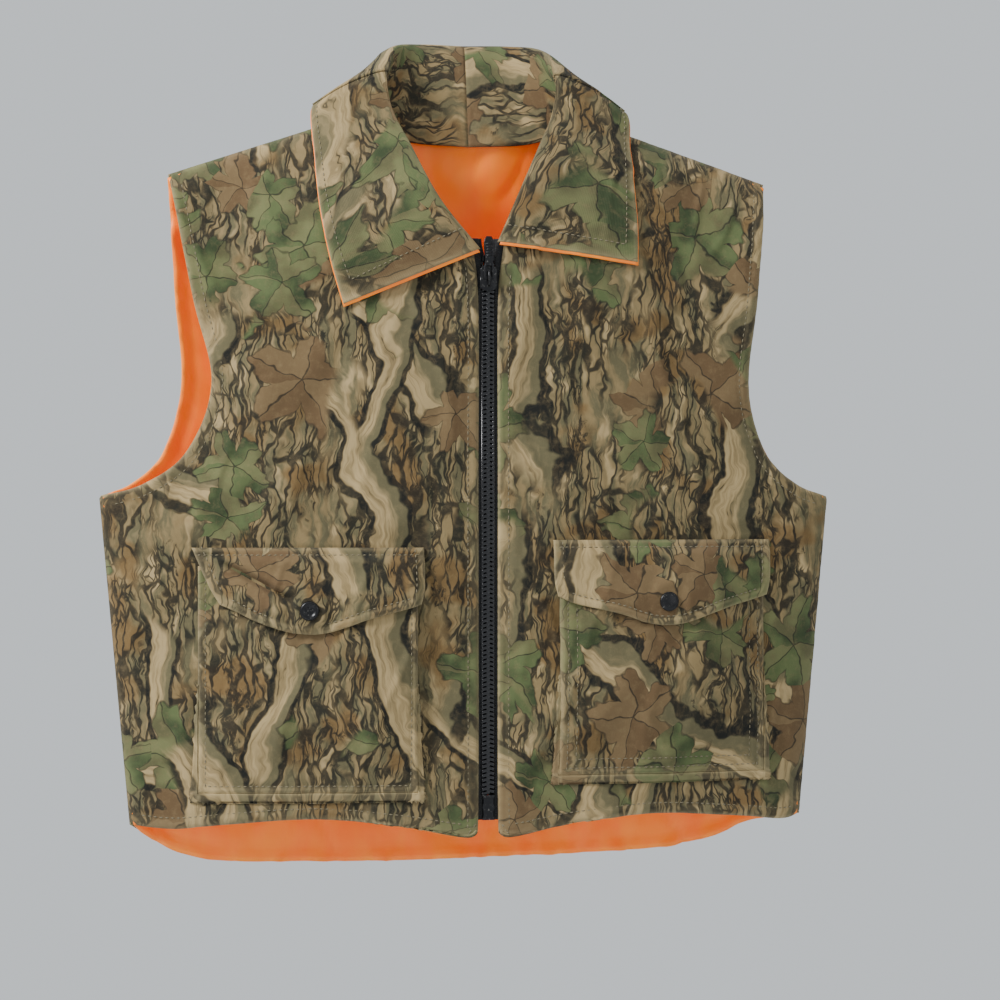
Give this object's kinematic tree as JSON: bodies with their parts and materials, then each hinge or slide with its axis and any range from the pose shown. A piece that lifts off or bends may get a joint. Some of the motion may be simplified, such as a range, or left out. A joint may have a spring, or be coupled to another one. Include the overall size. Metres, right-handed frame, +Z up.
{
  "type": "youth field vest",
  "caption": "Sleeveless zip-front field vest with a pointed collar, flapped snap pockets, a dropped back hem and a blaze orange lining.",
  "frame": {"origin": "where a hanger carries the shoulders: midway between the shoulders and between front and back, just below the neck points", "axes": "+Z up, -Y out of the front, +X to the viewer's right, which is the wearer's left"},
  "size_m": [0.4112, 0.0764, 0.4586],
  "materials": {
    "camo_cotton": "matte",
    "orange_lining": "satin",
    "zip_tape": "matte",
    "zip_chain": "satin",
    "black_metal": "satin"
  },
  "bodies": {
    "vest_back": {"back_shell": "camo_cotton", "back_lining": "orange_lining", "side_shell_left": "camo_cotton", "side_lining_left": "orange_lining", "side_shell_right": "camo_cotton", "side_lining_right": "orange_lining", "collar_fall_back": "camo_cotton", "collar_stand_back": "orange_lining"},
    "front_left": {"front_shell_left": "camo_cotton", "front_lining_left": "orange_lining", "collar_stand_left": "orange_lining", "pocket_bag_left": "camo_cotton", "snap_stud_left": "black_metal", "snap_post_left": "black_metal", "zip_tape_left": "zip_tape", "zip_chain_left": "zip_chain", "top_stop_left": "black_metal", "zip_box": "black_metal"},
    "front_right": {"front_shell_right": "camo_cotton", "front_lining_right": "orange_lining", "collar_stand_right": "orange_lining", "pocket_bag_right": "camo_cotton", "snap_stud_right": "black_metal", "snap_post_right": "black_metal", "zip_tape_right": "zip_tape", "zip_chain_right": "zip_chain", "top_stop_right": "black_metal", "zip_pin": "black_metal"},
    "collar_left": {"collar_wing_left": "camo_cotton", "collar_under_left": "orange_lining"},
    "flap_left": {"flap_shell_left": "camo_cotton", "flap_lining_left": "camo_cotton", "snap_cap_left": "black_metal", "snap_socket_left": "black_metal"},
    "collar_right": {"collar_wing_right": "camo_cotton", "collar_under_right": "orange_lining"},
    "flap_right": {"flap_shell_right": "camo_cotton", "flap_lining_right": "camo_cotton", "snap_cap_right": "black_metal", "snap_socket_right": "black_metal"},
    "slider": {"slider_body": "black_metal", "slider_plate": "black_metal"},
    "pull_tab": {"pull_tab": "black_metal"}
  },
  "joints": [
    {"name": "front_left_swing", "type": "hinge", "parent": "vest_back", "child": "front_left", "pos_m": [-0.095, -0.0206, 0], "axis": [-0.2625, 0, -0.9649], "range_deg": [0, 100]},
    {"name": "front_right_swing", "type": "hinge", "parent": "vest_back", "child": "front_right", "pos_m": [0.107, -0.0206, 0], "axis": [-0.2625, 0, 0.9649], "range_deg": [0, 100]},
    {"name": "collar_left_lift", "type": "hinge", "parent": "front_left", "child": "collar_left", "pos_m": [0.001, -0.0317, -0.069], "axis": [-0.4279, 0.2332, 0.8732], "range_deg": [0, 45]},
    {"name": "collar_right_lift", "type": "hinge", "parent": "front_right", "child": "collar_right", "pos_m": [0.011, -0.03163, -0.065], "axis": [-0.3482, -0.2505, -0.9033], "range_deg": [0, 45]},
    {"name": "flap_left_lift", "type": "hinge", "parent": "front_left", "child": "flap_left", "pos_m": [-0.093, -0.02671, -0.233], "axis": [-0.9947, 0.1029, 0], "range_deg": [0, 110]},
    {"name": "flap_right_lift", "type": "hinge", "parent": "front_right", "child": "flap_right", "pos_m": [0.105, -0.02542, -0.229], "axis": [-0.993, -0.1179, 0], "range_deg": [0, 110]},
    {"name": "zip_slide", "type": "slide", "parent": "front_left", "child": "slider", "axis": [0, 0, -1], "range_m": [0, 0.276]},
    {"name": "pull_tab_turn", "type": "hinge", "parent": "slider", "child": "pull_tab", "pos_m": [0.006, -0.0301, -0.085], "axis": [1, 0, 0], "range_deg": [0, 178]}
  ]
}
